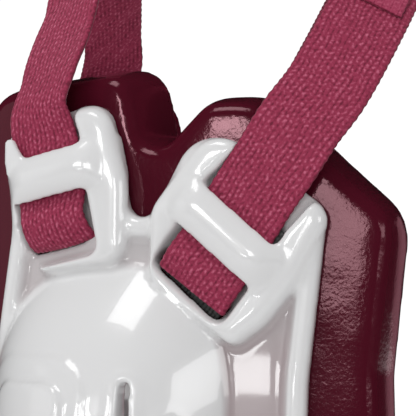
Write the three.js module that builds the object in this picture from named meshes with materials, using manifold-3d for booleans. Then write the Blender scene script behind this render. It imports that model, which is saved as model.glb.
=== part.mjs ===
// Wrestling headgear: two ear guards, each a moulded shell on a foam pad, joined by four webbing straps.
// Millimetres, +Z up, the face towards -Y. The origin is the crown of the head, under the front strap.
import * as THREE from 'three';
import { mergeVertices } from 'three/addons/utils/BufferGeometryUtils.js';
import { TessellateModifier } from 'three/addons/modifiers/TessellateModifier.js';
import Module from 'manifold-3d';

const wasm = await Module();
wasm.setup();

// Driving dimensions
const head = { earHalfSpan: 92, earDrop: 128, earBehind: 16 };
const stance = { toeIn: 22, tiltUp: 3, wrapRadius: 200 };
const seatGap = 0.4;
const pad = { thick: 18, flare: 4.4, edge: 1.6, earHalfWide: 24, earHalfTall: 28 };
const padLean = { u: 0.6, v: -1 };
const shell = { plate: 2.7, wall: 2.4, lipRise: 1.3, lipWide: 4, lipRound: 1.2 };
const dome = { u: -11, v: 1, halfWide: 29.5, halfTall: 35, rise: 17.2, power: 2.2, swell: 0.7 };
const badge = { u: -25, v: 1, halfWide: 9, halfTall: 10, top: 15, corner: 4 };
const bar = { wide: 10.8, thick: 3.2, slotHalf: 10.9, post: 4.4, under: 6.5, shoulder: 2.5, crown: 0.8 };
const lip = { wide: 3.4, top: 6, under: 3.4, side: 2.2, tuck: 2.6 };
const frameTop = 5.4;
const slotCorner = 1;
const webbing = { wide: 20, thick: 1.6 };
const tape = { wide: 18, thick: 0.6, aboveBar: 9 };
const patch = { wide: 15, thick: 1, gap: 0.6 };
const meshStep = { outline: 16, arc: 7.5, shellEdge: 18, padEdge: 26, route: 3 };

const plateTop = seatGap + shell.plate;
const deg = THREE.MathUtils.degToRad;

// Corners of the pad's front edge and of the shell's plate, seen from outside; round is the corner radius
const padCorners = [
  { u: -10.8, v: 83.8, round: 5 },
  { u: -4.8, v: 60, round: 6 },
  { u: 11, v: 76.2, round: 6 },
  { u: 22.6, v: 76.6, round: 12 },
  { u: 55, v: 50, round: 8 },
  { u: 50, v: -36, round: 26 },
  { u: 24, v: -58, round: 22 },
  { u: -26, v: -58, round: 22 },
  { u: -52, v: -34, round: 26 },
  { u: -57, v: 66, round: 10 },
  { u: -42, v: 80.5, round: 12 },
];
const plateCorners = [
  { u: -5, v: 45, round: 6 },
  { u: 38.5, v: 47, round: 5 },
  { u: 37, v: 10, round: 40 },
  { u: 40, v: -28, round: 20 },
  { u: 20, v: -46, round: 18 },
  { u: -24, v: -46, round: 18 },
  { u: -43, v: -24, round: 20 },
  { u: -42, v: 22, round: 40 },
  { u: -38.5, v: 49, round: 5 },
];

// Strap tabs: the bar's centre, the way the strap leaves, the reach of the frame around the bar,
// and the height of the strap in the slot
const tabs = {
  front: { u: -27.1, v: 59.6, leaves: 103, side: 16, reach: 14.5, slotEnd: 19, corner: 6, bulge: 6.2 },
  crown: { u: 18.4, v: 45.9, leaves: 54, side: 18.5, reach: 18, slotEnd: 17, corner: 8, bulge: 4.8 },
  nape: { u: 33, v: -30, leaves: 322, side: 15.5, reach: 13, slotEnd: 16, corner: 6, bulge: 3.4 },
  chin: { u: -30, v: -35, leaves: 230, side: 15.5, reach: 13, slotEnd: 16, corner: 6, bulge: 3.4 },
};
const vents = [
  { u: 0, top: 12, bottom: -18, wide: 3.2, round: 1.5 },
  { u: 8.5, top: 5, bottom: -15, wide: 3.2, round: 1.5 },
];

// Routes from each tab to the middle plane; across is the way over the band, left edge to right
const routes = {
  front: [
    { x: 78, y: -10.5, z: -44, across: [0.66, 0.75, 0] },
    { x: 70, y: -7, z: -33, across: [0.79, 0.62, 0] },
    { x: 63, y: -4.3, z: -23, across: [0.76, 0.65, 0] },
    { x: 42, y: -1, z: -6, across: [0.45, 0.89, 0] },
    { x: 20, y: 0, z: 0, across: [0.12, 1, 0] },
    { x: 0, y: 0, z: 0.8, across: [0, 1, 0] },
  ],
  crown: [
    { x: 102, y: 49.5, z: -56.5, across: [0.17, 0.82, -0.55] },
    { x: 97, y: 56, z: -48, across: [0.14, 0.84, -0.53] },
    { x: 82, y: 67.5, z: -28, across: [0.08, 0.87, -0.49] },
    { x: 52, y: 78, z: -8, across: [0, 0.94, -0.34] },
    { x: 22, y: 83, z: 0, across: [0, 0.98, -0.2] },
    { x: 0, y: 84, z: 1.4, across: [0, 0.98, -0.2] },
  ],
  nape: [
    { x: 111, y: 72, z: -174, across: [0, -0.4, -0.9] },
    { x: 100, y: 98, z: -180, across: [0, 0, -1] },
    { x: 60, y: 124, z: -182, across: [0, 0, -1] },
    { x: 0, y: 132, z: -182, across: [0, 0, -1] },
  ],
  chin: [
    { x: 71, y: -35, z: -191, across: [-0.36, -0.72, 0.6] },
    { x: 54, y: -47, z: -206, across: [-0.2, -0.78, 0.6] },
    { x: 28, y: -58, z: -217, across: [0, -0.8, 0.6] },
    { x: 0, y: -62, z: -220, across: [0, -0.8, 0.6] },
  ],
};

const finish = (color, roughness) => new THREE.MeshStandardMaterial({ color, roughness, metalness: 0 });
const finishes = {
  shell: finish(0xe4e4e6, 0.18),
  pad: finish(0x4a1220, 0.28),
  webbing: finish(0x96375a, 0.85),
  patch: finish(0x86304c, 0.9),
  tape: finish(0x3c3e3d, 0.95),
};

// Outline through rounded corners, as points no further apart than the outline step
function roundedLoop(corners) {
  const points = [];
  const at = (i) => corners[(i + corners.length) % corners.length];
  const flat = (c) => new THREE.Vector2(c.u, c.v);
  for (let i = 0; i < corners.length; i += 1) {
    const here = flat(at(i));
    const back = flat(at(i - 1)).sub(here).normalize();
    const ahead = flat(at(i + 1)).sub(here).normalize();
    const halfAngle = Math.acos(THREE.MathUtils.clamp(back.dot(ahead), -1, 1)) / 2;
    const run = at(i).round / Math.tan(halfAngle);
    const inwards = back.clone().add(ahead).normalize();
    const centre = here.clone().addScaledVector(inwards, at(i).round / Math.sin(halfAngle));
    const from = here.clone().addScaledVector(back, run).sub(centre);
    const sweep = Math.PI - 2 * halfAngle;
    const sense = Math.sign(back.x * ahead.y - back.y * ahead.x) < 0 ? 1 : -1;
    const pieces = Math.max(2, Math.round((sweep * at(i).round) / meshStep.arc));
    const arc = [];
    for (let k = 0; k <= pieces; k += 1) {
      arc.push(from.clone().rotateAround(new THREE.Vector2(), (sense * sweep * k) / pieces).add(centre));
    }
    addLine(points, arc[0]);
    points.push(...arc);
  }
  const closing = points[0];
  addLine(points, closing);
  return points;
}

// Points between the last one and the next, leaving both ends out
function addLine(points, next) {
  if (points.length === 0) return;
  const last = points[points.length - 1];
  const pieces = Math.ceil(last.distanceTo(next) / meshStep.outline);
  for (let k = 1; k < pieces; k += 1) points.push(last.clone().lerp(next, k / pieces));
}

// The same outline moved outwards
function grown(loop, distance) {
  return loop.map((p, i) => {
    const last = loop[(i + loop.length - 1) % loop.length];
    const next = loop[(i + 1) % loop.length];
    const along = next.clone().sub(last).normalize();
    const outwards = new THREE.Vector2(-along.y, along.x);
    return p.clone().addScaledVector(outwards, distance);
  });
}

// Ellipse points lying in the same directions as an outline's points
function ellipseUnder(loop, centre, halfWide, halfTall) {
  return loop.map((p) => {
    const toPoint = p.clone().sub(centre);
    const reach = 1 / Math.hypot(toPoint.x / halfWide, toPoint.y / halfTall);
    return toPoint.multiplyScalar(reach).add(centre);
  });
}

const level = (loop, w) => loop.map((p) => new THREE.Vector3(p.x, p.y, w));
const between = (a, b, t) => a.map((p, i) => p.clone().lerp(b[i], t));

// Closed solid over a run of equal loops; a ring joins its last loop to its first, else the ends are capped
function skin(loops, ring) {
  const count = loops[0].length;
  const positions = loops.flat().flatMap((p) => p.toArray());
  const faces = [];
  const spans = ring ? loops.length : loops.length - 1;
  for (let j = 0; j < spans; j += 1) {
    const low = j * count;
    const high = ((j + 1) % loops.length) * count;
    for (let i = 0; i < count; i += 1) {
      const next = (i + 1) % count;
      faces.push(low + i, low + next, high + next, low + i, high + next, high + i);
    }
  }
  if (!ring) {
    addCap(positions, faces, loops[0], 0, true);
    addCap(positions, faces, loops[loops.length - 1], (loops.length - 1) * count, false);
  }
  const geometry = new THREE.BufferGeometry();
  geometry.setAttribute('position', new THREE.Float32BufferAttribute(positions, 3));
  geometry.setIndex(faces);
  return facingOut(geometry);
}

// Fan of faces from the middle of an end loop
function addCap(positions, faces, loop, start, first) {
  const middle = loop.reduce((sum, p) => sum.add(p), new THREE.Vector3()).divideScalar(loop.length);
  const tip = positions.length / 3;
  positions.push(...middle.toArray());
  for (let i = 0; i < loop.length; i += 1) {
    const next = (i + 1) % loop.length;
    if (first) faces.push(start + next, start + i, tip);
    else faces.push(start + i, start + next, tip);
  }
}

// Turns every face round where the solid's volume comes out negative
function facingOut(geometry) {
  const { position } = geometry.attributes;
  const corner = (i) => new THREE.Vector3().fromBufferAttribute(position, geometry.index.getX(i));
  let volume = 0;
  for (let i = 0; i < geometry.index.count; i += 3) {
    volume += corner(i).dot(corner(i + 1).cross(corner(i + 2)));
  }
  if (volume < 0) turnFaces(geometry);
  return geometry;
}

function turnFaces(geometry) {
  const index = geometry.index.array;
  for (let i = 0; i < index.length; i += 3) [index[i + 1], index[i + 2]] = [index[i + 2], index[i + 1]];
}

// Joins and cuts
function solid(geometry) {
  const bare = geometry.clone();
  bare.deleteAttribute('normal');
  bare.deleteAttribute('uv');
  const merged = mergeVertices(bare, 1e-4);
  return new wasm.Manifold(new wasm.Mesh({
    numProp: 3,
    vertProperties: new Float32Array(merged.attributes.position.array),
    triVerts: new Uint32Array(merged.index.array),
  }));
}

function meshOf(manifold) {
  const mesh = manifold.getMesh();
  const geometry = new THREE.BufferGeometry();
  geometry.setAttribute('position', new THREE.BufferAttribute(new Float32Array(mesh.vertProperties), 3));
  geometry.setIndex(new THREE.BufferAttribute(new Uint32Array(mesh.triVerts), 1));
  return geometry;
}

// Upright block with an outline of rounded corners, between two levels
function block(corners, low, high) {
  const shape = new THREE.Shape(roundedLoop(corners));
  return new THREE.ExtrudeGeometry(shape, { depth: high - low, bevelEnabled: false }).translate(0, 0, low);
}

const rectangle = (left, right, low, high, round) => [
  { u: left, v: high, round },
  { u: right, v: high, round },
  { u: right, v: low, round },
  { u: left, v: low, round },
];

const onTab = (tab, geometry) => geometry.rotateZ(deg(tab.leaves - 90)).translate(tab.u, tab.v, 0);

// The flat guard is wrapped round the side of the head: u back, v up, w outwards
function wrap(u, v, w) {
  const angle = u / stance.wrapRadius;
  const out = (stance.wrapRadius + w) * Math.cos(angle) - stance.wrapRadius;
  return new THREE.Vector3(out, (stance.wrapRadius + w) * Math.sin(angle), v);
}

function wrapped(geometry) {
  const position = geometry.attributes.position;
  for (let i = 0; i < position.count; i += 1) {
    position.setXYZ(i, ...wrap(position.getX(i), position.getY(i), position.getZ(i)).toArray());
  }
  return geometry;
}

function buildPad() {
  const front = roundedLoop(padCorners);
  const hole = ellipseUnder(front, new THREE.Vector2(dome.u, dome.v), pad.earHalfWide, pad.earHalfTall);
  const lean = (loop) => loop.map((p) => p.add(new THREE.Vector2(padLean.u, padLean.v)));
  const faceEdge = level(grown(front, -pad.edge), 0);
  const holeFront = level(hole, 0);
  const holeBack = level(hole, -pad.thick);
  const backEdge = level(lean(grown(front, pad.flare - pad.edge)), -pad.thick);
  return skin([
    holeFront,
    between(holeFront, faceEdge, 0.5),
    faceEdge,
    level(front, -pad.edge),
    level(lean(grown(front, pad.flare)), -pad.thick + pad.edge),
    backEdge,
    holeBack,
  ], true);
}

// Height of the dome over its foot, at a share of the way from its middle to its foot
const domeCrown = (share) => (1 - share ** dome.power) ** dome.swell;
const domeShares = [0.98, 0.9, 0.75, 0.52, 0.26];

function domeLoops(outline, inset, base, rise) {
  const centre = new THREE.Vector2(dome.u, dome.v);
  return domeShares.map((share) => {
    const wide = (dome.halfWide - inset) * share;
    const tall = (dome.halfTall - inset) * share;
    return level(ellipseUnder(outline, centre, wide, tall), base + rise * domeCrown(share));
  });
}

// Flange with its rolled lip and the dome, still filled
function shellBody(outline) {
  const centre = new THREE.Vector2(dome.u, dome.v);
  return skin([
    level(outline, seatGap),
    level(outline, plateTop),
    level(grown(outline, -shell.lipRound), plateTop + shell.lipRise),
    level(grown(outline, shell.lipRound - shell.lipWide), plateTop + shell.lipRise),
    level(grown(outline, -shell.lipWide), plateTop),
    level(ellipseUnder(outline, centre, dome.halfWide, dome.halfTall), plateTop),
    ...domeLoops(outline, 0, plateTop, dome.rise),
  ], false);
}

function shellHollow(outline) {
  const centre = new THREE.Vector2(dome.u, dome.v);
  const foot = ellipseUnder(outline, centre, dome.halfWide - shell.wall, dome.halfTall - shell.wall);
  const rise = plateTop + dome.rise - shell.wall - seatGap;
  const ceiling = domeLoops(outline, shell.wall, seatGap, rise);
  return skin([level(foot, -pad.thick), level(foot, seatGap), ...ceiling], false);
}

// The raised frame of a tab, around its bar and slot
const frameOf = (tab) => block(
  rectangle(-tab.side, tab.side, -tab.slotEnd - lip.wide, tab.reach, tab.corner),
  seatGap,
  frameTop,
);

// Bridge over the strap: two posts and the bar between them
function bridge() {
  const outer = bar.slotHalf + bar.post;
  const top = bar.under + bar.thick;
  const halfProfile = [
    { s: bar.slotHalf, w: bar.under },
    { s: bar.slotHalf, w: seatGap },
    { s: outer, w: seatGap },
    { s: outer, w: plateTop + bar.shoulder / 2 },
    { s: outer - bar.shoulder, w: top - bar.crown },
    { s: outer - bar.shoulder * 2, w: top },
  ];
  const rightHalf = halfProfile.map(({ s, w }) => new THREE.Vector2(s, w));
  const leftHalf = halfProfile.map(({ s, w }) => new THREE.Vector2(-s, w)).reverse();
  const shape = new THREE.Shape([...rightHalf, ...leftHalf]);
  const run = new THREE.ExtrudeGeometry(shape, { depth: bar.wide, bevelEnabled: false });
  return run.rotateX(Math.PI / 2).translate(0, bar.wide / 2, 0);
}

function lipOf(tab) {
  const half = bar.slotHalf + lip.side;
  return block(rectangle(-half, half, -tab.slotEnd - lip.wide, -tab.slotEnd, slotCorner), seatGap, lip.top);
}

const slotOf = (tab) => block(
  rectangle(-bar.slotHalf, bar.slotHalf, -tab.slotEnd, -bar.wide / 2, slotCorner),
  -pad.thick,
  plateTop + dome.rise,
);

const passageOf = (tab) => block(
  rectangle(-bar.slotHalf, bar.slotHalf, -tab.slotEnd, tab.reach + bar.wide, slotCorner),
  plateTop,
  bar.under,
);

const pocketOf = (tab) => block(
  rectangle(-bar.slotHalf, bar.slotHalf, -tab.slotEnd - lip.tuck, lip.wide - tab.slotEnd, slotCorner),
  -pad.thick,
  lip.under,
);

function buildShell() {
  const outline = roundedLoop(plateCorners);
  let body = solid(shellBody(outline));
  const badgeBlock = block(
    rectangle(-badge.halfWide, badge.halfWide, -badge.halfTall, badge.halfTall, badge.corner),
    seatGap,
    badge.top,
  ).translate(badge.u, badge.v, 0);
  body = body.add(solid(badgeBlock));
  for (const tab of Object.values(tabs)) body = body.add(solid(onTab(tab, frameOf(tab))));
  body = body.subtract(solid(shellHollow(outline)));
  for (const tab of Object.values(tabs)) {
    body = body.add(solid(onTab(tab, lipOf(tab))));
    body = body.subtract(solid(onTab(tab, slotOf(tab))));
    body = body.subtract(solid(onTab(tab, passageOf(tab))));
    body = body.subtract(solid(onTab(tab, pocketOf(tab))));
    body = body.add(solid(onTab(tab, bridge())));
  }
  for (const vent of vents) {
    const half = vent.wide / 2;
    const outline = rectangle(vent.u - half, vent.u + half, vent.bottom, vent.top, vent.round);
    const cut = block(outline, 0, plateTop + dome.rise);
    body = body.subtract(solid(cut));
  }
  return meshOf(body);
}

// Long edges are divided before the flat guard is wrapped
function wrappedSolid(geometry, longestEdge) {
  const divided = new TessellateModifier(longestEdge, 12).modify(geometry.toNonIndexed());
  return mergeVertices(wrapped(divided), 1e-4);
}

// Where a guard stands: turned in towards the face and tilted up
function standOf(side) {
  const stand = new THREE.Group();
  stand.rotation.order = 'ZYX';
  stand.rotation.set(0, -side * deg(stance.tiltUp), -side * deg(stance.toeIn));
  stand.position.set(side * head.earHalfSpan, head.earBehind, -head.earDrop);
  stand.updateMatrixWorld();
  return stand;
}

const leftStand = standOf(1);
const rightStand = standOf(-1);

// A point and a direction of the flat guard, on the wearer's left side
function onGuard(tab, across, along, w) {
  const way = deg(tab.leaves);
  const u = tab.u + across * Math.sin(way) + along * Math.cos(way);
  const v = tab.v - across * Math.cos(way) + along * Math.sin(way);
  return wrap(u, v, w).applyMatrix4(leftStand.matrixWorld);
}

// Stations of a band on its tab: the middle of the band and the way across it
function tabStations(tab, levels) {
  return levels.map(({ along, w }) => ({
    middle: onGuard(tab, 0, along, w),
    across: onGuard(tab, 1, along, w).sub(onGuard(tab, -1, along, w)).normalize(),
  }));
}

// Stations of a band off its tab
const routeStations = (rows) => rows.map((row) => ({
  middle: new THREE.Vector3(row.x, row.y, row.z),
  across: new THREE.Vector3(...row.across).normalize(),
}));

const mirrored = (v) => new THREE.Vector3(-v.x, v.y, v.z);
const otherSide = (stations) => stations
  .map(({ middle, across }) => ({ middle: mirrored(middle), across: mirrored(across) }))
  .reverse();

// Smooth run through the stations, with the band square to its own direction at every step
function smoothRun(stations) {
  const middles = new THREE.CatmullRomCurve3(stations.map((s) => s.middle), false, 'centripetal');
  const edges = new THREE.CatmullRomCurve3(stations.map((s) => s.across), false, 'catmullrom', 0.5);
  const steps = (stations.length - 1) * meshStep.route;
  return Array.from({ length: steps + 1 }, (_, i) => {
    const along = middles.getTangent(i / steps);
    const across = edges.getPoint(i / steps);
    across.addScaledVector(along, -across.dot(along)).normalize();
    const out = new THREE.Vector3().crossVectors(across, along);
    return { middle: middles.getPoint(i / steps), across, out };
  });
}

// Flat band along a run; lift moves it off the run, towards its outer face
function band(run, size, lift = 0) {
  const loops = run.map(({ middle, across, out }) => {
    const place = (side, face) => middle.clone()
      .addScaledVector(across, (side * size.wide) / 2)
      .addScaledVector(out, lift + (face * size.thick) / 2);
    return [place(-1, -1), place(1, -1), place(1, 1), place(-1, 1)];
  });
  return skin(loops, false);
}

// Heights of the bands over the pad along a tab: in the slot, under the bar, over the plate's end
const heldLevels = (tab) => [
  { along: -tab.slotEnd + 1.2, w: 3.5 },
  { along: -bar.wide, w: tab.bulge },
  { along: -bar.wide / 2, w: 5 },
  { along: bar.wide / 2, w: 5 },
  { along: tab.reach - 5, w: 5.1 },
  { along: tab.reach + 2, w: 5.4 },
];
const tapeLevels = (tab) => [
  { along: -tab.slotEnd - lip.tuck + 1, w: 1.5 },
  { along: -tab.slotEnd, w: 1.8 },
  { along: -bar.wide, w: 2.8 },
  { along: -bar.wide / 2, w: 3.6 },
  { along: bar.wide / 2, w: 3.6 },
  { along: tape.aboveBar, w: 3.7 },
];
const tuckedLevels = (tab) => [
  { along: -tab.slotEnd - lip.tuck + 1, w: 1.4 },
  { along: -tab.slotEnd, w: 1.7 },
  { along: -bar.wide, w: tab.bulge },
  { along: -bar.wide / 2, w: 4.7 },
  { along: bar.wide / 2, w: 4.7 },
  { along: tab.reach - 5, w: 4.8 },
  { along: tab.reach + 2, w: 5 },
];

function strapRun(name, levels) {
  const half = [...tabStations(tabs[name], levels(tabs[name])), ...routeStations(routes[name])];
  return smoothRun([...half, ...otherSide(half).slice(1)]);
}

const named = (name, geometry, material) => {
  const mesh = new THREE.Mesh(geometry, material);
  mesh.name = name;
  return mesh;
};

// The wearer's right guard is the left one seen in a mirror
function mirrorSolid(geometry) {
  const twin = geometry.clone().scale(-1, 1, 1);
  turnFaces(twin);
  return twin;
}

const shellSolid = wrappedSolid(buildShell(), meshStep.shellEdge);
const padSolid = wrappedSolid(buildPad(), meshStep.padEdge);
leftStand.add(named('left_shell', shellSolid, finishes.shell), named('left_pad', padSolid, finishes.pad));
rightStand.add(
  named('right_shell', mirrorSolid(shellSolid), finishes.shell),
  named('right_pad', mirrorSolid(padSolid), finishes.pad),
);

const headgear = new THREE.Group();
headgear.add(leftStand, rightStand);

const strapLevels = { front: heldLevels, crown: heldLevels, nape: tuckedLevels, chin: tuckedLevels };
for (const [name, levels] of Object.entries(strapLevels)) {
  headgear.add(named(`${name}_strap`, band(strapRun(name, levels), webbing), finishes.webbing));
}

for (const name of ['front', 'crown']) {
  const stations = tabStations(tabs[name], tapeLevels(tabs[name]));
  headgear.add(named(`left_${name}_tape`, band(smoothRun(stations), tape), finishes.tape));
  headgear.add(named(`right_${name}_tape`, band(smoothRun(otherSide(stations)), tape), finishes.tape));
}

const crownTop = strapRun('crown', heldLevels);
const patchReach = meshStep.route * 3;
const middleStep = (crownTop.length - 1) / 2;
const patchRun = crownTop.slice(middleStep - patchReach, middleStep + patchReach + 1);
const patchLift = (webbing.thick + patch.thick) / 2 + patch.gap;
headgear.add(named('crown_patch', band(patchRun, patch, patchLift), finishes.patch));

export default headgear;
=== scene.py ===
import math
import bpy
import numpy as np
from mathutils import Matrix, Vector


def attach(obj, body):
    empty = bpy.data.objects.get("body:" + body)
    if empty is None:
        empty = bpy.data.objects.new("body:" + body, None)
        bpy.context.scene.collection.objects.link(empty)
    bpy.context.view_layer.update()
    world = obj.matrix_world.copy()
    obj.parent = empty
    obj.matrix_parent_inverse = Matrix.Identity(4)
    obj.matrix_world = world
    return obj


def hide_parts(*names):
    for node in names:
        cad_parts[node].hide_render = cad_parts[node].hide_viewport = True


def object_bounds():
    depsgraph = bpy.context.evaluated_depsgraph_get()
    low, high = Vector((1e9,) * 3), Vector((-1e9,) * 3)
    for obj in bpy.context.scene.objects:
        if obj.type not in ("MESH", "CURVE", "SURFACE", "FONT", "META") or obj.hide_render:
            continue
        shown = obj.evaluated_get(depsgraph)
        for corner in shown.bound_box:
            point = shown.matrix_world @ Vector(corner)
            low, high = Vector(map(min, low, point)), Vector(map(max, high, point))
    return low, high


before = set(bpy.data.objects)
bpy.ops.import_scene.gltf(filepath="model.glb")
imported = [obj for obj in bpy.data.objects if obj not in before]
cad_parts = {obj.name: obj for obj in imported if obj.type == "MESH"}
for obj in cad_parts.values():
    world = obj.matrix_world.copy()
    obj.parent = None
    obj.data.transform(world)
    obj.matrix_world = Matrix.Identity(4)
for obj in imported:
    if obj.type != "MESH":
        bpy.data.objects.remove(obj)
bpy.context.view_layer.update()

mm = 0.001


# Selecting, modifiers and joins

def deselectAll():
    if bpy.context.object and bpy.context.object.mode != "OBJECT":
        bpy.ops.object.mode_set(mode="OBJECT")
    bpy.ops.object.select_all(action="DESELECT")


def makeActive(piece):
    deselectAll()
    piece.select_set(True)
    bpy.context.view_layer.objects.active = piece
    return piece


def applyModifier(piece, kind, **settings):
    makeActive(piece)
    modifier = piece.modifiers.new(kind.lower(), kind)
    for setting, value in settings.items():
        setattr(modifier, setting, value)
    bpy.ops.object.modifier_apply(modifier=modifier.name)


def cutOrJoin(piece, tool, operation):
    applyModifier(piece, "BOOLEAN", object=tool, operation=operation, solver="MANIFOLD")
    makeActive(tool)
    bpy.ops.object.delete()


def roundEdges(piece, width):
    applyModifier(piece, "BEVEL", width=width, segments=3, limit_method="ANGLE", angle_limit=0.9)


def editAll(piece):
    makeActive(piece)
    bpy.ops.object.mode_set(mode="EDIT")
    bpy.ops.mesh.select_all(action="SELECT")


def leaveEdit():
    bpy.ops.object.mode_set(mode="OBJECT")


def getPoints(piece):
    points = np.empty(len(piece.data.vertices) * 3)
    piece.data.vertices.foreach_get("co", points)
    return points.reshape(-1, 3)


def setPoints(piece, points):
    piece.data.vertices.foreach_set("co", np.ascontiguousarray(points).ravel())
    piece.data.update()


def named(piece, name):
    piece.name = name
    piece.data.name = name
    return piece


# Flat outlines in millimetres: corners are (u, v, round)

def roundedLoop(corners, arcStep=1.2):
    points = []
    count = len(corners)
    for i, (u, v, radius) in enumerate(corners):
        here = np.array([u, v])
        back = np.array(corners[i - 1][:2]) - here
        ahead = np.array(corners[(i + 1) % count][:2]) - here
        back = back / np.linalg.norm(back)
        ahead = ahead / np.linalg.norm(ahead)
        half = math.acos(max(-1, min(1, float(back @ ahead)))) / 2
        inwards = (back + ahead) / np.linalg.norm(back + ahead)
        centre = here + inwards * radius / math.sin(half)
        spoke = here + back * radius / math.tan(half) - centre
        sweep = math.pi - 2 * half
        turn = 1 if back[0] * ahead[1] - back[1] * ahead[0] < 0 else -1
        steps = max(3, round(sweep * radius / arcStep))
        for k in range(steps + 1):
            angle = turn * sweep * k / steps
            cosine, sine = math.cos(angle), math.sin(angle)
            points.append(centre + [spoke[0] * cosine - spoke[1] * sine, spoke[0] * sine + spoke[1] * cosine])
    return np.array(points)


def rectangle(left, right, low, high, radius, slant=0):
    corners = [(left, high), (right, high), (right + slant, low), (left + slant, low)]
    return roundedLoop([(u, v, radius) for u, v in corners], 0.8)


# A circle shaped to the outline and drawn up into a block; the top can have its own outline
def slab(outline, low, high, topOutline=None):
    deselectAll()
    bpy.ops.mesh.primitive_circle_add(vertices=len(outline), radius=1, fill_type="NGON")
    piece = bpy.context.object
    setPoints(piece, np.column_stack([outline, np.full(len(outline), low)]))
    editAll(piece)
    bpy.ops.mesh.extrude_region_move(TRANSFORM_OT_translate={"value": (0, 0, high - low)})
    leaveEdit()
    if topOutline is not None:
        points = getPoints(piece)
        for i in np.flatnonzero(points[:, 2] > (low + high) / 2):
            points[i, :2] = topOutline[np.argmin(np.linalg.norm(outline - points[i, :2], axis=1))]
        setPoints(piece, points)
    editAll(piece)
    bpy.ops.mesh.normals_make_consistent(inside=False)
    leaveEdit()
    return piece


# The flat guard is wrapped on the side of the head, turned towards the face and tilted
stance = {
    "earHalfSpan": 92, "earBehind": 16, "earDrop": 128,
    "toeIn": 22, "tiltUp": 3, "wrapRadius": 200,
}


def toHead(points):
    u, v, w = points[:, 0], points[:, 1], points[:, 2]
    radius = stance["wrapRadius"]
    angle = u / radius
    out = (radius + w) * np.cos(angle) - radius
    back = (radius + w) * np.sin(angle)
    tilt = math.radians(-stance["tiltUp"])
    toe = math.radians(-stance["toeIn"])
    tilted = out * math.cos(tilt) + v * math.sin(tilt)
    up = -out * math.sin(tilt) + v * math.cos(tilt)
    x = tilted * math.cos(toe) - back * math.sin(toe) + stance["earHalfSpan"]
    y = tilted * math.sin(toe) + back * math.cos(toe) + stance["earBehind"]
    return np.column_stack([x, y, up - stance["earDrop"]])


def onTab(tab, across, along):
    way = math.radians(tab["leaves"])
    u = tab["u"] + across * math.sin(way) + along * math.cos(way)
    v = tab["v"] - across * math.cos(way) + along * math.sin(way)
    return u, v


def placeOnTab(piece, tab):
    points = getPoints(piece)
    u, v = onTab(tab, points[:, 0], points[:, 1])
    setPoints(piece, np.column_stack([u, v, points[:, 2]]))
    return piece


# The wearer's right guard is the left one in a mirror, with its own mesh
def mirrorCopy(piece, name):
    makeActive(piece)
    bpy.ops.object.duplicate()
    twin = bpy.context.object
    setPoints(twin, getPoints(twin) * [-1, 1, 1])
    editAll(twin)
    bpy.ops.mesh.flip_normals()
    leaveEdit()
    return named(twin, name)


def finishPiece(piece, node, material):
    piece.data.materials.clear()
    piece.data.materials.append(material)
    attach(piece, "root")
    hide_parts(node)
    print("finished", piece.name, len(piece.data.polygons), "faces")


# Materials

def newMaterial(name):
    material = bpy.data.materials.new(name)
    material.use_nodes = True
    return material, material.node_tree.nodes, material.node_tree.links


# Cloths: the yarn's own colour with a painted shade for its crevices and a painted glint for its crowns, how
# dull it is and how downy
cloths = {
    "webbing cloth": {
        "shade": (0.17, 0.014, 0.038), "body": (0.32, 0.031, 0.078), "glint": (0.55, 0.125, 0.21),
        "roughness": 0.7, "sheen": 0.15,
    },
    "facing cloth": {
        "shade": (0.19, 0.016, 0.044), "body": (0.37, 0.043, 0.1), "glint": (0.47, 0.09, 0.16),
        "roughness": 0.8, "sheen": 0.1,
    },
    "hook tape": {
        "shade": (0.03, 0.031, 0.03), "body": (0.1, 0.103, 0.1), "glint": (0.17, 0.173, 0.17),
        "roughness": 0.9, "sheen": 0.05,
    },
}
# Tones: the painted shade in the crevices, the yarn's own body colour, the painted glint on the crowns
tones = ("shade", "body", "glint")
# crevice and crown are the weave heights where the painted shade turns to the body colour and the body colour
# to the painted glint
yarnLook = {
    "blotchScale": 1300, "blotchDetail": 3, "blotch": 1.5,
    "crevice": (0.05, 0.5), "crown": (0.62, 1.05), "sheenRoughness": 0.4, "gloss": 0.15,
}


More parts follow.
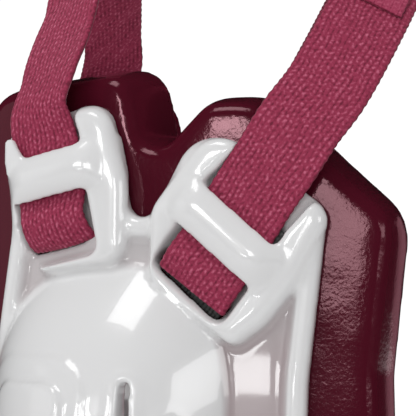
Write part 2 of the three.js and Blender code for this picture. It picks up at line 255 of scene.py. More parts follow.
# Painted shade in the crevices, the yarn's own colour and a painted glint on the crowns, blotched by the dye
def makeYarnGroup():
    group = bpy.data.node_groups.new("yarnColourPaintedShadeAndGlint", "ShaderNodeTree")
    sockets = group.interface
    sockets.new_socket("Height", in_out="INPUT", socket_type="NodeSocketFloat")
    sockets.new_socket("Place", in_out="INPUT", socket_type="NodeSocketVector")
    for tone in tones:
        sockets.new_socket(tone.capitalize(), in_out="INPUT", socket_type="NodeSocketColor")
    sockets.new_socket("Colour", in_out="OUTPUT", socket_type="NodeSocketColor")
    nodes, links = group.nodes, group.links
    entry = nodes.new("NodeGroupInput")
    leave = nodes.new("NodeGroupOutput")
    blotch = nodes.new("ShaderNodeTexNoise")
    blotch.inputs["Scale"].default_value = yarnLook["blotchScale"]
    blotch.inputs["Detail"].default_value = yarnLook["blotchDetail"]
    links.new(entry.outputs["Place"], blotch.inputs["Vector"])
    uneven = nodes.new("ShaderNodeMath")
    uneven.operation = "MULTIPLY_ADD"
    uneven.inputs[1].default_value = yarnLook["blotch"]
    links.new(blotch.outputs["Fac"], uneven.inputs[0])
    lowered = nodes.new("ShaderNodeMath")
    lowered.operation = "SUBTRACT"
    lowered.inputs[1].default_value = yarnLook["blotch"] / 2
    links.new(entry.outputs["Height"], lowered.inputs[0])
    links.new(lowered.outputs[0], uneven.inputs[2])
    colour = entry.outputs["Shade"]
    for level, tone in (("crevice", "Body"), ("crown", "Glint")):
        share = nodes.new("ShaderNodeMapRange")
        share.inputs["From Min"].default_value, share.inputs["From Max"].default_value = yarnLook[level]
        links.new(uneven.outputs[0], share.inputs["Value"])
        mixed = nodes.new("ShaderNodeMix")
        mixed.data_type = "RGBA"
        links.new(share.outputs["Result"], mixed.inputs["Factor"])
        links.new(colour, mixed.inputs["A"])
        links.new(entry.outputs[tone], mixed.inputs["B"])
        colour = mixed.outputs["Result"]
    links.new(colour, leave.inputs["Colour"])
    return group


yarnGroup = makeYarnGroup()


def makeWoven(name):
    cloth = cloths[name]
    material, nodes, links = newMaterial(name)
    shader = nodes["Principled BSDF"]
    shader.inputs["Roughness"].default_value = cloth["roughness"]
    shader.inputs["Specular IOR Level"].default_value = yarnLook["gloss"]
    shader.inputs["Sheen Weight"].default_value = cloth["sheen"]
    shader.inputs["Sheen Roughness"].default_value = yarnLook["sheenRoughness"]
    place = nodes.new("ShaderNodeTexCoord")
    height = nodes.new("ShaderNodeAttribute")
    height.attribute_name = "weave"
    yarn = nodes.new("ShaderNodeGroup")
    yarn.node_tree = yarnGroup
    for tone in tones:
        yarn.inputs[tone.capitalize()].default_value = (*cloth[tone], 1)
    links.new(place.outputs["Object"], yarn.inputs["Place"])
    links.new(height.outputs["Fac"], yarn.inputs["Height"])
    links.new(yarn.outputs["Colour"], shader.inputs["Base Color"])
    return material


webbingCloth, facingCloth, hookTape = [makeWoven(name) for name in cloths]

# Plastic: the plain white (thick), a painted pinkish shade for the low recessed parts, and its gloss
plasticLook = {
    "thick": (0.8, 0.8, 0.805), "paintedPinkShade": (0.44, 0.37, 0.38),
    "roughness": 0.2, "coat": 0.8, "coatRoughness": 0.03,
}


# White plastic, with a painted pinkish shade on its low recessed parts that grows towards the bottom
def makeShellPlastic():
    material, nodes, links = newMaterial("white moulded plastic")
    shader = nodes["Principled BSDF"]
    paintedPinkShade = nodes.new("ShaderNodeAttribute")
    paintedPinkShade.attribute_name = "paintedPinkShade"
    tinted = nodes.new("ShaderNodeMix")
    tinted.data_type = "RGBA"
    tinted.inputs["A"].default_value = (*plasticLook["thick"], 1)
    tinted.inputs["B"].default_value = (*plasticLook["paintedPinkShade"], 1)
    links.new(paintedPinkShade.outputs["Fac"], tinted.inputs["Factor"])
    links.new(tinted.outputs["Result"], shader.inputs["Base Color"])
    shader.inputs["Roughness"].default_value = plasticLook["roughness"]
    shader.inputs["Coat Weight"].default_value = plasticLook["coat"]
    shader.inputs["Coat Roughness"].default_value = plasticLook["coatRoughness"]
    return material


shellPlastic = makeShellPlastic()

vinylLook = {
    "colour": (0.074, 0.0052, 0.0142), "glossTint": (1, 0.55, 0.62), "roughness": 0.13,
    "skinScale": 1000, "skinDetail": 2, "skinStrength": 0.19, "skinDeep": 0.0002,
}


# Glossy dip over foam, with a fine leathery skin
def makeDippedVinyl():
    material, nodes, links = newMaterial("maroon dipped vinyl")
    shader = nodes["Principled BSDF"]
    shader.inputs["Base Color"].default_value = (*vinylLook["colour"], 1)
    shader.inputs["Specular Tint"].default_value = (*vinylLook["glossTint"], 1)
    shader.inputs["Roughness"].default_value = vinylLook["roughness"]
    place = nodes.new("ShaderNodeTexCoord")
    skin = nodes.new("ShaderNodeTexNoise")
    skin.inputs["Scale"].default_value = vinylLook["skinScale"]
    skin.inputs["Detail"].default_value = vinylLook["skinDetail"]
    links.new(place.outputs["Object"], skin.inputs["Vector"])
    bump = nodes.new("ShaderNodeBump")
    bump.inputs["Strength"].default_value = vinylLook["skinStrength"]
    bump.inputs["Distance"].default_value = vinylLook["skinDeep"]
    links.new(skin.outputs["Fac"], bump.inputs["Height"])
    links.new(bump.outputs["Normal"], shader.inputs["Normal"])
    return material


dippedVinyl = makeDippedVinyl()


# Foam pads: a flared block with an ear hole, its edges rounded by the dip

padPiece = {
    "thick": 18, "flare": 4.4, "lean": (0.6, -1), "round": 1.5, "voxel": 1, "melt": 3,
    "wave": 0.35, "waveLong": 22, "bulge": 0.8, "crown": 0.5, "crownReach": 7,
    "earU": -6, "earV": 1, "earHalfWide": 24, "earHalfTall": 28,
    "corners": [
        (-10.8, 83.8, 5), (-4.8, 60, 6), (11, 76.2, 6), (22.6, 76.6, 12), (55, 50, 8), (51.6, 14, 24),
        (54, -30, 26), (24, -58, 22), (-26, -58, 22), (-52, -34, 26), (-57, 66, 10), (-46.2, 80.2, 9),
    ],
}


def grown(outline, distance):
    along = np.roll(outline, -1, axis=0) - np.roll(outline, 1, axis=0)
    along = along / np.linalg.norm(along, axis=1)[:, None]
    return outline + distance * np.column_stack([-along[:, 1], along[:, 0]])


def distanceTo(outline, points):
    nearest = np.full(len(points), np.inf)
    for start, end in zip(outline, np.roll(outline, -1, axis=0)):
        along = end - start
        share = np.clip((points - start) @ along / (along @ along), 0, 1)
        nearest = np.minimum(nearest, np.linalg.norm(points - start - share[:, None] * along, axis=1))
    return nearest


# The dip pulls the face down towards its edge and leaves the walls bulging
def softenPad(piece, outline):
    points = getPoints(piece)
    outwards = np.empty(points.size)
    piece.data.vertex_normals.foreach_get("vector", outwards)
    outwards = outwards.reshape(-1, 3)
    depth = np.clip(-points[:, 2] / padPiece["thick"], 0, 1)
    bulge = padPiece["bulge"] * np.sin(math.pi * depth) * (1 - outwards[:, 2] ** 2)
    inwards = np.clip(distanceTo(outline, points[:, :2]) / padPiece["crownReach"], 0, 1)
    drop = padPiece["crown"] * (1 - inwards) ** 2 * (1 - depth)
    points = points + outwards * bulge[:, None]
    points[:, 2] -= drop
    setPoints(piece, points)


def makePad():
    outline = roundedLoop(padPiece["corners"], 2)
    back = grown(outline, padPiece["flare"]) + padPiece["lean"]
    piece = slab(back, -padPiece["thick"], 0, outline)
    roundEdges(piece, padPiece["round"])
    deselectAll()
    middle = (padPiece["earU"], padPiece["earV"], 0)
    bpy.ops.mesh.primitive_cylinder_add(vertices=72, radius=1, depth=60, location=middle)
    hole = bpy.context.object  # long enough to pass right through the foam
    hole.scale = (padPiece["earHalfWide"], padPiece["earHalfTall"], 1)
    bpy.ops.object.transform_apply(location=True, rotation=True, scale=True)
    cutOrJoin(piece, hole, "DIFFERENCE")
    applyModifier(piece, "REMESH", mode="VOXEL", voxel_size=padPiece["voxel"])
    applyModifier(piece, "SMOOTH", factor=0.5, iterations=padPiece["melt"])
    softenPad(piece, outline)
    waves = bpy.data.textures.new("slow waves", "CLOUDS")
    waves.noise_scale = padPiece["waveLong"]
    applyModifier(piece, "DISPLACE", texture=waves, strength=padPiece["wave"], mid_level=0.5)
    setPoints(piece, toHead(getPoints(piece)) * mm)
    makeActive(piece)
    bpy.ops.object.shade_smooth()
    return named(piece, "leftPad")


leftPad = makePad()
rightPad = mirrorCopy(leftPad, "rightPad")
finishPiece(leftPad, "left_pad", dippedVinyl)
finishPiece(rightPad, "right_pad", dippedVinyl)
print("pads done")


# Strap tabs on a guard: the bar's middle and ends, the way the strap leaves, the slot, slit and window
# Corners of the raised frame and of the horn are (across, along, round)

lowerFrame = [(-15, 12.6, 5), (15, 12.6, 5), (15, -13, 6), (11, -19.6, 5), (-11, -19.6, 5), (-15, -13, 6)]
lowerTab = {
    "slotEnd": 16, "slotLeft": -10.5, "slotRight": 10.5, "slotSlant": 0, "slitFrom": 0, "slitRight": 10.5,
    "reach": 13, "pocketLeft": -10.7, "pocketRight": 10.7,
    "windowLeft": -10.5, "windowRight": 10.5, "barLeft": -16.5, "barRight": 16.5, "frame": lowerFrame,
}
tabs = {
    "front": {
        "u": -27.1, "v": 59.6, "leaves": 103, "reach": 14.5, "windowLeft": -10.4, "windowRight": 10.2,
        "slotEnd": 20.2, "slotLeft": -9.9, "slotRight": 8.6, "slotSlant": 0, "slitFrom": 3, "slitRight": 5.6,
        "barLeft": -12.4, "barRight": 19.4, "tapeAside": -2, "tapeEnd": 16.8, "tapeShare": 0.8,
        "horn": [(-10.2, 2, 1), (-5, 2, 1), (-5, 6.2, 1.5), (-6.8, 11.4, 1.2), (-8.8, 10.8, 1.6)],
        "frame": [
            (-10.8, 13.6, 4), (18.4, 14.2, 7), (19.8, -6, 20),
            (15.6, -24.8, 6), (-8, -22.4, 5), (-12.2, -12, 8),
        ],
    },
    "crown": {
        "u": 19, "v": 45.2, "leaves": 49, "reach": 18, "windowLeft": -12.6, "windowRight": 9,
        "slotEnd": 16.2, "slotLeft": -10.2, "slotRight": 10.2, "slotSlant": 1.2,
        "slitFrom": 0, "slitRight": 10.4, "barLeft": -18.4, "barRight": 18,
        "tapeAside": 1, "tapeEnd": 17.2, "tapeShare": 1, "pocketLeft": -8.2, "pocketRight": 10.4,
        "frame": [
            (-20.6, 16.9, 8), (14.3, 19.5, 5), (19, 1.9, 30), (19.8, -9.6, 8),
            (18, -18.7, 3), (-7.6, -20.5, 5), (-18.9, -8, 8),
        ],
    },
    "nape": {"u": 33, "v": -30, "leaves": 322, **lowerTab},
    "chin": {"u": -30, "v": -35, "leaves": 230, **lowerTab},
}

# Moulded shells

shellPiece = {
    "foot": 0.4, "plate": 2.5, "rim": 5, "rimWide": 5.6, "crest": 1.4, "dishDraft": 2, "wall": 2.4,
    "frameFoot": 0.7, "frameTop": 7, "frameRound": 3.8, "lipTop": 6.9, "lipDraft": 0.8,
    "slit": 4.5, "slotRound": 1.6, "floor": 2.5, "bevel": 1.8, "channel": 3.7,
    "windowLong": 4.2, "wayOut": 12, "underBar": 1,
    "pocketTop": 3.4, "pocketBelow": 2.6, "pocketAbove": 3.1, "pocketRound": 1.2,
    "barFoot": 1, "barHalf": 5.4, "barUnder": 6.5, "barTop": 9.9, "barDrop": 2, "archHalf": 11,
    "hornDrop": 1.4, "hornRound": 0.6,
    "voxel": 0.65, "melt": 10, "paintedShadeBelow": 4.4, "paintedShadeFade": 1.6, "paintedShadeTall": 45, "paintedShadeLeast": 0.4,
    "outline": [
        (-4.6, 42, 4), (11, 73, 9.5), (41, 52, 5), (37.3, 12, 60), (37, -13.5, 8), (52.7, -25.8, 6),
        (33.7, -50.2, 6), (28, -46, 6), (-18.5, -46, 6), (-26.5, -55, 6), (-50.3, -35, 6), (-43, -26, 8),
        (-42, 22, 60), (-38.6, 47, 20), (-41.5, 70, 5), (-12.6, 78, 6),
    ],
    "vents": [(-0.6, -18, 11.6), (8.6, -15, 3.4)],  # across, bottom, top
    "ventHalf": 1.25, "ventRim": 2.2, "ventRise": 0.45, "ventDeep": 12.6,
    "fields": [  # left, right, bottom, top, corner, rise
        (-40, -9.4, -17, 16.6, 9, 0.9), (-35, -13.8, -12, 10.6, 5, 2.4),
    ],
}

aboveAll, belowAll = 40, -5  # levels where a cut is clear of the plastic

# Ear dome: a squarish bulge with its own reach each way; its foot is crisp in front and melts away behind
dome = {
    "u": -10, "v": -2, "halfFront": 32, "halfRear": 27, "halfAbove": 38, "halfBelow": 31, "square": 2.7,
    "rise": 17.6, "swell": 0.64, "meltTowards": 60, "meltSwell": 0.4, "meltReach": 0.1,
}


# Plate with its edge standing as a rolled rim
def makePlate():
    part = shellPiece
    outline = roundedLoop(part["outline"])
    piece = slab(outline, part["foot"], part["rim"] - part["crest"])
    crest = slab(outline, part["rim"] - part["crest"] - 0.2, part["rim"], grown(outline, -part["crest"]))
    cutOrJoin(piece, crest, "UNION")
    inner = grown(outline, -part["rimWide"])
    dish = slab(inner, part["plate"], part["rim"] + 1, grown(inner, part["dishDraft"]))
    cutOrJoin(piece, dish, "DIFFERENCE")
    return piece


# A ball pressed into the ear dome's form, flat below
def makeDome(inset, base, top, low):
    deselectAll()
    bpy.ops.mesh.primitive_uv_sphere_add(segments=96, ring_count=48, radius=1)
    piece = bpy.context.object
    points = getPoints(piece)
    share = np.clip(np.linalg.norm(points[:, :2], axis=1), 0, 1)
    turn = np.arctan2(points[:, 1], points[:, 0])
    across, upwards = np.cos(turn), np.sin(turn)
    power = dome["square"]
    square = (np.abs(across) ** power + np.abs(upwards) ** power) ** (-1 / power)
    melted = 0.5 + 0.5 * np.cos(turn - math.radians(dome["meltTowards"]))
    reach = square * share * (1 + dome["meltReach"] * melted)
    wide = np.where(across > 0, dome["halfRear"], dome["halfFront"]) - inset
    tall = np.where(upwards > 0, dome["halfAbove"], dome["halfBelow"]) - inset
    u = dome["u"] + across * reach * wide
    v = dome["v"] + upwards * reach * tall
    height = base + (top - base) * (1 - share ** 2) ** (dome["swell"] + dome["meltSwell"] * melted)
    setPoints(piece, np.column_stack([u, v, np.where(points[:, 2] > -0.001, height, low)]))
    return piece


# Bar bent over the strap: an arch drawn along the tab, its back crowned
def makeBar(tab):
    part = shellPiece
    half, foot, under, top = part["archHalf"], part["barFoot"], part["barUnder"], part["barTop"]
    left, right = tab["barLeft"], tab["barRight"]
    arch = [  # across, height, round
        (left, foot, 0.5), (left + 0.4, 5, 3), (left + 5, top, 8),
        (right - 8, top, 12), (right - 0.4, 4.6, 3), (right, foot, 0.5),
        (half, foot, 0.5), (half, under, 1.5), (-half, under, 1.5), (-half, foot, 0.5),
    ]
    piece = slab(roundedLoop(arch), -part["barHalf"], part["barHalf"])
    editAll(piece)
    bpy.ops.mesh.subdivide(number_cuts=7)
    leaveEdit()
    across, w, along = getPoints(piece).T
    lifted = np.clip((w - under) / (top - under), 0, 1)
    w = w - part["barDrop"] * lifted * (along / part["barHalf"]) ** 2
    setPoints(piece, np.column_stack([across, along, w]))
    editAll(piece)
    bpy.ops.mesh.normals_make_consistent(inside=False)
    leaveEdit()
    return piece


# Raised frame of a tab, rounded all over
def makeFrame(tab):
    piece = slab(roundedLoop(tab["frame"]), shellPiece["frameFoot"], shellPiece["frameTop"])
    roundEdges(piece, shellPiece["frameRound"])
    return placeOnTab(piece, tab)


# Lip below the slot: the frame's own lower edge, standing crisp
def makeLip(tab):
    part = shellPiece
    edge = roundedLoop(tab["frame"])
    lip = slab(edge, part["frameFoot"], part["lipTop"], grown(edge, -part["lipDraft"]))
    keep = slab(rectangle(-30, 30, -40, -tab["slotEnd"], 1), 0, aboveAll)  # all that lies below the slot
    cutOrJoin(lip, keep, "INTERSECT")
    return placeOnTab(lip, tab)


# Recess for the strap with sloping walls, a slit for its end, a window above the bar and a way out
def tabCuts(tab):
    part = shellPiece
    end, left, right, bar = tab["slotEnd"], tab["slotLeft"], tab["slotRight"], part["barHalf"]
    windowLeft, windowRight = tab["windowLeft"], tab["windowRight"]
    slitStart, clear = tab["slitFrom"] - end, part["frameTop"] + 1
    below, above = part["underBar"] - bar, bar - part["underBar"]
    recess = rectangle(left, right, -end, below, part["slotRound"], tab["slotSlant"])
    slit = rectangle(left, tab["slitRight"], slitStart, slitStart + part["slit"], 1)
    window = rectangle(windowLeft, windowRight, above, bar + part["windowLong"], part["slotRound"])
    channel = rectangle(left, right, -end, below, 1, tab["slotSlant"])
    wayOut = rectangle(windowLeft, windowRight, -bar, tab["reach"] + part["wayOut"], 1)
    cuts = [
        slab(recess, part["floor"], clear, grown(recess, part["bevel"])),
        slab(slit, belowAll, part["frameTop"]),
        slab(window, part["floor"], clear, grown(window, part["bevel"] / 3)),
        slab(channel, part["channel"], aboveAll),
        slab(wayOut, part["channel"], aboveAll),
    ]
    if tab["slitFrom"] == 0:
        low, high = -end - part["pocketBelow"], part["pocketAbove"] - end
        pocket = rectangle(tab["pocketLeft"], tab["pocketRight"], low, high, part["pocketRound"])
        cuts.append(slab(pocket, belowAll, part["pocketTop"]))
    return [placeOnTab(cut, tab) for cut in cuts]


# The dome's own form a little higher or lower, kept only inside an outline and above a level
def makeRaised(around, rise, low=0.8):
    part = shellPiece
    field = makeDome(0, part["plate"], part["plate"] + dome["rise"] + rise, 1)
    cutOrJoin(field, slab(around, low, aboveAll), "INTERSECT")
    return field


# Pointed end of a bar that stands up beside the strap
def makeHorn(tab):
    part = shellPiece
    horn = slab(roundedLoop(tab["horn"]), part["barUnder"], part["barTop"] - part["hornDrop"])
    roundEdges(horn, part["hornRound"])
    return placeOnTab(horn, tab)


def makeShell():
    part = shellPiece
    piece = makePlate()
    cutOrJoin(piece, makeDome(0, part["plate"], part["plate"] + dome["rise"], 1), "UNION")
    for tab in tabs.values():
        cutOrJoin(piece, makeFrame(tab), "UNION")
    print("plate, dome and frames joined", len(piece.data.vertices))
    for left, right, bottom, top, corner, rise in part["fields"]:
        field = makeRaised(rectangle(left, right, bottom, top, corner), rise)
        cutOrJoin(piece, field, "UNION")
    half, rim = part["ventHalf"], part["ventRim"]
    rims = []
    for across, bottom, top in part["vents"]:
        wide = half + rim
        rims.append(rectangle(across - wide, across + wide, bottom - rim, top + rim, wide - 0.2))
        cutOrJoin(piece, makeRaised(rims[-1], part["ventRise"]), "UNION")
    ceiling = part["plate"] + dome["rise"] - part["wall"]
    cutOrJoin(piece, makeDome(part["wall"], part["foot"], ceiling, belowAll), "DIFFERENCE")
    for around in rims:
        cutOrJoin(piece, makeRaised(around, -1, part["ventDeep"]), "UNION")
    print("raised fields joined, dome hollowed", len(piece.data.vertices))
    for tab in tabs.values():
        cutOrJoin(piece, makeLip(tab), "UNION")
        for cut in tabCuts(tab):
            cutOrJoin(piece, cut, "DIFFERENCE")
        cutOrJoin(piece, placeOnTab(makeBar(tab), tab), "UNION")
        if "horn" in tab:
            cutOrJoin(piece, makeHorn(tab), "UNION")
    for across, bottom, top in part["vents"]:
        cut = slab(rectangle(across - half, across + half, bottom, top, half - 0.1), belowAll, aboveAll)
        cutOrJoin(piece, cut, "DIFFERENCE")
    print("windows, bars and vents cut", len(piece.data.vertices))
    applyModifier(piece, "REMESH", mode="VOXEL", voxel_size=part["voxel"])
    applyModifier(piece, "SMOOTH", factor=0.5, iterations=part["melt"])
    points = getPoints(piece)
    # Painted pinkish shade: full low down near the pad and fading above it, weaker higher up the guard
    paintedPinkShade = piece.data.attributes.new("paintedPinkShade", "FLOAT", "POINT")
    low = np.clip((part["paintedShadeBelow"] - points[:, 2]) / part["paintedShadeFade"], 0, 1)
    least = part["paintedShadeLeast"]
    paintedPinkShade.data.foreach_set("value", low * np.clip(1 + least - points[:, 1] / part["paintedShadeTall"], least, 1))
    setPoints(piece, toHead(points) * mm)
    makeActive(piece)
    bpy.ops.object.shade_smooth()
    return named(piece, "leftShell")


leftShell = makeShell()
rightShell = mirrorCopy(leftShell, "rightShell")
finishPiece(leftShell, "left_shell", shellPlastic)
finishPiece(rightShell, "right_shell", shellPlastic)
print("shells done")


# Runs of the straps: levels on the tab are (along, height, aside, roll, share of the width when cupped)
# Route rows to the middle are x, y, z, the way across, how much further back the far side lies and its turn

tuckedLevels = [
    (-17.6, 1.4, 0, 0, 1), (-16, 1.7, 0, 0, 1), (-10.8, 3.4, 0, 0, 1), (-5.4, 4.7, 0, 0, 1),
    (5.4, 4.7, 0, 0, 1), (8, 4.8, 0, 0, 1), (15, 5, 0, 0, 1),
]
straps = {
    "front": {
        "levels": [
            (-16.9, 2.2, -0.6, 0, 0.91), (-15.6, 4.4, -0.6, 0, 0.9), (-13.4, 6.2, -0.6, 0, 0.89),
            (-10.2, 7, -0.6, 0, 0.89), (-5.4, 5.1, -0.4, 0, 0.95), (5.4, 5, 0, 0, 0.97),
            (9.5, 5.1, 0.2, 2, 0.95), (16.5, 6, 0.9, 12, 0.96),
        ],
        "route": [
            (78, -10, -44, (0.77, 0.64, 0), 4, -20), (70, -7, -33, (0.74, 0.67, 0), 5.4, -22),
            (63, -4.3, -23, (0.78, 0.63, 0), 3.4, -12), (42, -1, -6, (0.45, 0.89, 0), 0),
            (20, 0, 0, (0.12, 1, 0), 0), (0, 0, 0.8, (0, 1, 0), 0),
        ],
    },
    "crown": {
        "levels": [
            (-15.2, 4.2, 1.2, -4, 0.99), (-10.8, 5.8, 0.9, -6, 0.99), (-5.4, 5, 0.1, 0, 1),
            (5.4, 5, -1.5, 0, 1), (13, 5.3, -2.7, 0, 1), (20, 6, -3.5, 0, 1),
        ],
        "route": [
            (102, 49.5, -56.5, (0.17, 0.82, -0.55), 0), (97, 56, -48, (0.14, 0.84, -0.53), 0),
            (82, 67.5, -28, (0.08, 0.87, -0.49), 0), (52, 78, -8, (0, 0.94, -0.34), 0),
            (22, 83, 0, (0, 0.98, -0.2), 0), (0, 84, 1.4, (0, 0.98, -0.2), 0),
        ],
    },
    "nape": {
        "levels": tuckedLevels,
        "route": [
            (111, 72, -174, (0, -0.4, -0.9), 0), (100, 98, -180, (0, 0, -1), 0),
            (60, 124, -182, (0, 0, -1), 0), (0, 132, -182, (0, 0, -1), 0),
        ],
    },
    "chin": {
        "levels": tuckedLevels,
        "route": [
            (71, -35, -191, (-0.36, -0.72, 0.6), 0), (54, -47, -206, (-0.2, -0.78, 0.6), 0),
            (28, -58, -217, (0, -0.8, 0.6), 0), (0, -62, -220, (0, -0.8, 0.6), 0),
        ],
    },
}


def tabStations(tab, levels):
    middles, ways, widths = [], [], []
    for along, w, aside, roll, width in levels:
        level, rise = math.cos(math.radians(roll)), math.sin(math.radians(roll))
        spots = [(*onTab(tab, aside + side * level, along), w + side * rise) for side in (0, 1, -1)]
        middle, right, left = toHead(np.array(spots))
        middles.append(middle)
        ways.append((right - left) / np.linalg.norm(right - left))
        widths.append(np.array([width]))
    return middles, ways, widths


def turnedFlat(way, degrees):
    level, rise = math.cos(math.radians(degrees)), math.sin(math.radians(degrees))
    return np.array([level * way[0] - rise * way[1], rise * way[0] + level * way[1], way[2]])


def strapStations(name):
    middles, ways, widths = tabStations(tabs[name], straps[name]["levels"])
    further = [0] * len(middles)
    turns = [0] * len(middles)
    for x, y, z, way, back, *turn in straps[name]["route"]:
        middles.append(np.array([x, y, z], float))
        ways.append(np.array(way) / np.linalg.norm(way))
        widths.append(np.array([1]))
        further.append(back)
        turns.append(turn[0] if turn else 0)
    flip = np.array([-1, 1, 1])
    farMiddles = [point * flip + [0, back, 0] for point, back in zip(middles[-2::-1], further[-2::-1])]
    farWays = [turnedFlat(way * flip, turn) for way, turn in zip(ways[-2::-1], turns[-2::-1])]
    return middles + farMiddles, ways + farWays, widths + widths[-2::-1]


# Smooth curve through the stations; even spacing is for directions, the other follows the distances
def curveThrough(stations, perSpan, even):
    points = np.array([2 * stations[0] - stations[1], *stations, 2 * stations[-1] - stations[-2]])
    rows = []
    for i in range(1, len(points) - 2):
        before, start, end, after = points[i - 1:i + 3]
        if even:
            leave, arrive = (end - before) / 2, (after - start) / 2
        else:
            first, second, third = [
                math.sqrt(np.linalg.norm(b - a)) for a, b in ((before, start), (start, end), (end, after))
            ]
            leave = ((start - before) / first - (end - before) / (first + second)) * second + (end - start)
            arrive = ((after - end) / third - (after - start) / (second + third)) * second + (end - start)
        t = np.arange(perSpan)[:, None] / perSpan
        rows.append(
            start * (2 * t ** 3 - 3 * t ** 2 + 1) + end * (3 * t ** 2 - 2 * t ** 3)
            + leave * (t ** 3 - 2 * t ** 2 + t) + arrive * (t ** 3 - t ** 2)
        )
    return np.vstack([*rows, points[-2:-1]])


perSpan = 24  # curve points from one station to the next


# Equal steps along the curve, with the band square to its own direction
def evenRun(middles, ways, widths, step, firstRow=0, lastRow=None):
    line = curveThrough(middles, perSpan, False)[firstRow:lastRow]
    ways = curveThrough(ways, perSpan, True)[firstRow:lastRow]
    widths = curveThrough(widths, perSpan, True)[firstRow:lastRow, 0]
    reach = np.concatenate([[0], np.cumsum(np.linalg.norm(np.diff(line, axis=0), axis=1))])
    count = int(round(reach[-1] / step))
    stops = np.linspace(0, reach[-1], count + 1)
    widths = np.interp(stops, reach, widths)
    line = np.column_stack([np.interp(stops, reach, line[:, k]) for k in range(3)])
    ways = np.column_stack([np.interp(stops, reach, ways[:, k]) for k in range(3)])
    along = np.gradient(line, axis=0)
    along = along / np.linalg.norm(along, axis=1)[:, None]
    ways = ways - along * np.sum(ways * along, axis=1)[:, None]
    ways = ways / np.linalg.norm(ways, axis=1)[:, None]
    return {"middle": line, "across": ways, "out": np.cross(ways, along), "length": stops, "width": widths}


# What every weave shares: how fast its ribs waver and its grains drift, how high the furrows lie
wander = {
    "waverAlong": 0.55, "waverAcross": 0.4, "drift": 0.15, "driftAlong": 0.31, "driftAcross": 2.3,
    "furrowLevel": 0.45, "grainBloom": 0.7, "backShift": 0.9, "level": 0.6,
}


# The same scattered share, 0 to 1, for the same rib and grain
def scatter(rib, grain):
    mixed = np.sin(rib * 12.9898 + grain * 78.233) * 43758.5453
    return mixed - np.floor(mixed)


# Height of the weave, 0 to 1: wavering ribs along the band, each a row of slanted uneven grains
def weaveHeight(s, length, weave):
    waver = np.sin(length * wander["waverAlong"] + s * wander["waverAcross"])
    column = s / weave["rib"] + weave["waver"] * waver
    rib = np.floor(column)
    offset = column - rib - 0.5
    odd = rib % 2
    phase = length / weave["grain"] + 0.5 * odd + (1 - 2 * odd) * offset * weave["slant"]
    drift = np.sin(rib * wander["driftAcross"] + length * wander["driftAlong"])
    phase = phase + weave["uneven"] * scatter(rib, 0) + wander["drift"] * drift
    tall = 1 - weave["uneven"] * scatter(rib, np.floor(phase + 0.5))
    ribs = np.cos(math.pi * offset) ** weave["furrow"]
    grains = (0.5 + 0.5 * np.cos(2 * math.pi * phase)) ** wander["grainBloom"]
    return ribs * (wander["furrowLevel"] + (1 - wander["furrowLevel"]) * grains * tall)


# Grid rolled into a flat tube along a run, its faces raised by the weave and its edges scalloped
def makeBand(name, run, size, weave, lift=0):
    half, thick = size["wide"] / 2, size["thick"] / 2
    top = np.linspace(-half, half, size["topCells"] + 1)
    below = np.linspace(half, -half, size["backCells"] + 1)
    s = np.concatenate([top, below, top[:1]])
    face = np.concatenate([np.ones(len(top)), -np.ones(len(below)), [1]])
    edge = np.clip((half - np.abs(s)) / thick, 0, 1)
    level = thick * np.sqrt(np.clip(1 - (1 - edge) ** 2, 0.04, 1)) * face
    rows = len(run["length"])
    deselectAll()
    bpy.ops.mesh.primitive_grid_add(x_subdivisions=len(s) - 1, y_subdivisions=rows - 1, size=1)
    piece = bpy.context.object
    length = run["length"][:, None]
    shifted = length + wander["backShift"] * (face[None, :] < 0)
    height = weaveHeight(s[None, :] + 0 * length, shifted, weave)
    height = height * edge ** 0.5
    scallop = weave["scallop"] * np.sin(2 * math.pi * length / weave["scallopLong"]) * (1 - edge) * np.sign(s)
    width = run["width"][:, None]
    cupped = size["cup"] * size["wide"] * (1 - width) * (s[None, :] / half) ** 2
    rise = (level + lift)[None, :] + weave["deep"] * (height - wander["level"]) * face - cupped
    points = (
        run["middle"][:, None, :]
        + run["across"][:, None, :] * (s[None, :] * width + scallop)[:, :, None]
        + run["out"][:, None, :] * rise[:, :, None]
    )
    setPoints(piece, points.reshape(-1, 3) * mm)
    # The weave height also sets the painted shade in the crevices and the painted glint on the crowns
    marks = piece.data.attributes.new("weave", "FLOAT", "POINT")
    marks.data.foreach_set("value", height.astype(np.float32).ravel())
    editAll(piece)
    bpy.ops.mesh.remove_doubles(threshold=0.00001)
    bpy.ops.mesh.select_all(action="SELECT")
    bpy.ops.mesh.fill_holes(sides=0)
    bpy.ops.mesh.select_all(action="SELECT")
    bpy.ops.mesh.normals_make_consistent(inside=False)
    leaveEdit()
    bpy.ops.object.shade_smooth()
    return named(piece, name)


webbingSize = {"wide": 20, "thick": 1.6, "cup": 0.5, "topCells": 68, "backCells": 30, "step": 0.5}
plainSize = {"wide": 20, "thick": 1.6, "cup": 0, "topCells": 50, "backCells": 24, "step": 0.75}
webbingWeave = {
    "rib": 1.3, "grain": 1.6, "slant": 0.7, "furrow": 0.55, "waver": 0.16, "uneven": 0.4,
    "deep": 0.22, "scallop": 0.09, "scallopLong": 2.2,
}

for name, size in (("front", webbingSize), ("crown", webbingSize), ("nape", plainSize), ("chin", plainSize)):
    run = evenRun(*strapStations(name), size["step"])
    strap = makeBand(name + "Strap", run, size, webbingWeave)
    finishPiece(strap, name + "_strap", webbingCloth)
    print(name, "strap is", round(float(run["length"][-1])), "mm long")


# Hook tapes on the strap ends, and the facing over the crown

tapeSize = {"wide": 18, "thick": 0.6, "cup": 0, "topCells": 36, "backCells": 18, "step": 0.6}
tapeWeave = {
    "rib": 1, "grain": 1.1, "slant": 0.2, "furrow": 0.8, "waver": 0.1, "uneven": 0.3,
    "deep": 0.08, "scallop": 0, "scallopLong": 3,
}

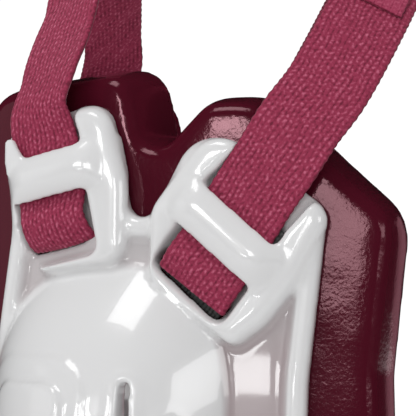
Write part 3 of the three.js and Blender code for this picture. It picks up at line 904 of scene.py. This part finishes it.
for name in ("front", "crown"):
    end, aside, share = tabs[name]["tapeEnd"], tabs[name]["tapeAside"], tabs[name]["tapeShare"]
    heights = [(-end, 1.4), (1.6 - end, 1.8), (-13.4, 2.2), (-10.8, 2.8), (-5.4, 3.6), (5.4, 3.6), (9, 3.7)]
    levels = [(along, w, aside, 0, share) for along, w in heights]
    run = evenRun(*tabStations(tabs[name], levels), tapeSize["step"])
    leftTape = makeBand("left" + name.capitalize() + "Tape", run, tapeSize, tapeWeave)
    rightTape = mirrorCopy(leftTape, "right" + name.capitalize() + "Tape")
    finishPiece(leftTape, "left_" + name + "_tape", hookTape)
    finishPiece(rightTape, "right_" + name + "_tape", hookTape)

facingSize = {
    "wide": 15, "thick": 0.7, "cup": 0, "topCells": 50, "backCells": 12, "step": 0.6, "lift": 1.3, "spans": 3,
}
facingWeave = {
    "rib": 0.7, "grain": 0.9, "slant": 0.2, "furrow": 0.4, "waver": 0.05, "uneven": 0.2,
    "deep": 0.06, "scallop": 0.05, "scallopLong": 2,
}

crownStations = strapStations("crown")
middleRow = (len(crownStations[0]) - 1) * perSpan // 2
reachRows = facingSize["spans"] * perSpan
run = evenRun(*crownStations, facingSize["step"], middleRow - reachRows, middleRow + reachRows + 1)
facing = makeBand("crownPatch", run, facingSize, facingWeave, facingSize["lift"])
finishPiece(facing, "crown_patch", facingCloth)
print("straps, tapes and facing done")


# Floor, camera and soft studio light

stage = {
    "floorBelow": 0.006, "floorSize": 1.5, "floorGrey": 0.85, "floorRoughness": 0.8,
    "room": 0.64, "reflected": 0.006, "paper": 1.05,
}
view = {"at": (0.582, 0.0284, -0.076), "lens": 180.6, "sensor": 36}

visualBox = [list(corner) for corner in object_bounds()]
deselectAll()
floorLevel = visualBox[0][2] - stage["floorBelow"]
bpy.ops.mesh.primitive_plane_add(size=stage["floorSize"], location=(0, 0, floorLevel))
floor = named(bpy.context.object, "paleFloor")
floorPaint, floorNodes, _ = newMaterial("pale floor")
floorNodes["Principled BSDF"].inputs["Base Color"].default_value = (*[stage["floorGrey"]] * 3, 1)
floorNodes["Principled BSDF"].inputs["Roughness"].default_value = stage["floorRoughness"]
floor.data.materials.append(floorPaint)

quarter = math.radians(90)
bpy.ops.object.camera_add(location=view["at"], rotation=(quarter, 0, quarter))
camera = bpy.context.object
camera.data.lens = view["lens"]
camera.data.sensor_width = view["sensor"]
bpy.context.scene.camera = camera

softboxes = {
    "key": {"at": (1.07, -0.18, 0.085), "aim": (0.1, 0.06, 0.085), "size": (0.24, 0.23), "watts": 1.15},
    "overhead": {"at": (0.3, -0.2, 0.52), "aim": (0.1, 0.01, -0.09), "size": (0.28, 0.28), "watts": 1.12},
    "fill": {"at": (0.3, -0.9, 0), "aim": (0.08, 0, -0.1), "size": (0.5, 0.6), "watts": 0.5},
}

# Panels that only glossy surfaces mirror
panels = {
    "upper": {"at": (0.92, -0.52, 0.16), "aim": (0.1, 0.03, -0.06), "size": (0.22, 0.18), "watts": 1.6},
    "side": {"at": (0.7, 0.63, 0.06), "aim": (0.11, 0.03, -0.12), "size": (0.5, 0.28), "watts": 1.45},
    "window": {
        "at": (0.965, -0.45, -0.093), "aim": (0.1, 0.045, -0.115), "size": (0.13, 0.028), "watts": 0.16,
    },
    "rear": {
        "at": (-0.49, 0.466, -0.1), "aim": (0.09, 0.075, -0.1), "size": (0.2, 0.3), "watts": 0.08,
        "colour": (1, 0.45, 0.55),
    },
}


def addSoftbox(name, box):
    bpy.ops.object.light_add(type="AREA", location=box["at"])
    light = bpy.context.object
    light.name = name + "Softbox"
    light.data.shape = "RECTANGLE"
    light.data.size, light.data.size_y = box["size"]
    light.data.energy = box["watts"]
    light.data.color = box.get("colour", (1, 1, 1))
    way = light.location.copy()
    for k in range(3):
        way[k] = box["aim"][k] - box["at"][k]
    light.rotation_euler = way.to_track_quat("-Z", "Y").to_euler()
    return light


for name, box in softboxes.items():
    addSoftbox(name, box)
for name, box in panels.items():
    addSoftbox(name, box).visible_diffuse = False


# The camera sees white paper, dull surfaces a bright room and glossy ones a dark studio
def makeWorld():
    world = bpy.data.worlds.new("studio")
    bpy.context.scene.world = world
    world.use_nodes = True
    nodes, links = world.node_tree.nodes, world.node_tree.links
    rays = nodes.new("ShaderNodeLightPath")

    def backdrop(strength):
        node = nodes.new("ShaderNodeBackground")
        node.inputs["Color"].default_value = (1, 1, 1, 1)
        node.inputs["Strength"].default_value = strength
        return node.outputs["Background"]

    def choose(ray, otherwise, chosen):
        node = nodes.new("ShaderNodeMixShader")
        links.new(rays.outputs[ray], node.inputs["Fac"])
        links.new(otherwise, node.inputs[1])
        links.new(chosen, node.inputs[2])
        return node.outputs["Shader"]

    seen = choose("Is Glossy Ray", backdrop(stage["room"]), backdrop(stage["reflected"]))
    seen = choose("Is Camera Ray", seen, backdrop(stage["paper"]))
    links.new(seen, nodes["World Output"].inputs["Surface"])


makeWorld()
bpy.context.scene.view_settings.view_transform = "Standard"
bpy.context.scene.view_settings.look = "None"
print("stage and light set")
